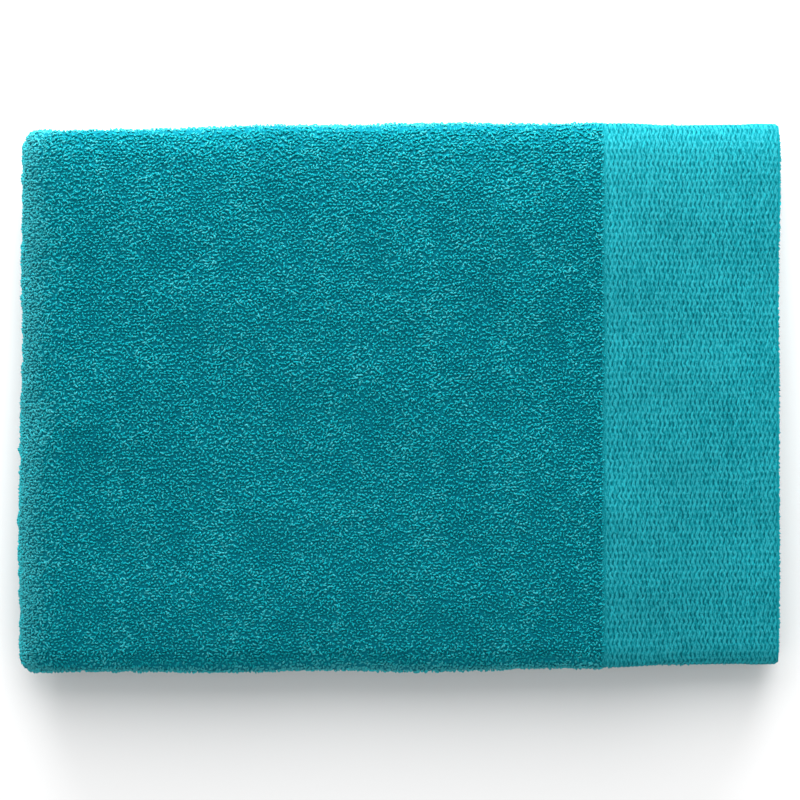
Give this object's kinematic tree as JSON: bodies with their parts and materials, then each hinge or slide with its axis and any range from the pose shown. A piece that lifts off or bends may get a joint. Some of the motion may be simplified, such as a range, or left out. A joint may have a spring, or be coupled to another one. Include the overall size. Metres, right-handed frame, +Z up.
{
  "type": "folded bath towel",
  "caption": "Folded terry bath towel with woven end borders; the stack opens like a book about the fold at one end.",
  "frame": {"origin": "centre of the underside of the folded towel", "axes": "+X along the length to the hemmed end, +Y across to the back long side, +Z up out of the top layer"},
  "size_m": [0.332, 0.2382, 0.0411],
  "materials": {
    "terry": "looped cotton terry pile, teal",
    "border": "flat woven cotton border with fine zigzag ribs, teal",
    "hem": "turned and sewn cotton hem, teal",
    "thread": "polyester sewing thread, light teal"
  },
  "bodies": {
    "lower_half": {"bottom_face_ply": "terry", "bottom_tucked_ply": "terry", "bottom_flap_ply": "terry", "bottom_front_fold": "terry", "bottom_back_fold": "terry", "third_face_ply": "terry", "third_tucked_ply": "terry", "third_flap_ply": "terry", "third_front_fold": "terry", "third_back_fold": "terry", "right_fold_face_ply": "terry", "right_fold_inner_plies": "terry", "left_fold_outer_lower": "terry", "left_fold_inner_lower": "terry", "lower_side_hems": "hem"},
    "upper_half": {"second_face_ply": "terry", "second_tucked_ply": "terry", "second_flap_ply": "terry", "second_front_fold": "terry", "second_back_fold": "terry", "top_face_ply": "terry", "top_tucked_ply": "terry", "top_flap_ply": "terry", "top_front_fold": "terry", "top_back_fold": "terry", "left_fold_outer_upper": "terry", "left_fold_inner_upper": "terry", "upper_side_hems": "hem", "second_border": "border", "second_border_tucks": "border", "second_end_hem": "hem", "second_hem_stitching": "thread", "top_border": "border", "top_border_tucks": "border", "top_end_hem": "hem", "top_hem_stitching": "thread"}
  },
  "joints": [
    {"name": "left_fold_hinge", "type": "hinge", "parent": "lower_half", "child": "upper_half", "pos_m": [-0.16614, 0, 0.02055], "axis": [0, -1, 0], "range_deg": [0, 180]}
  ]
}
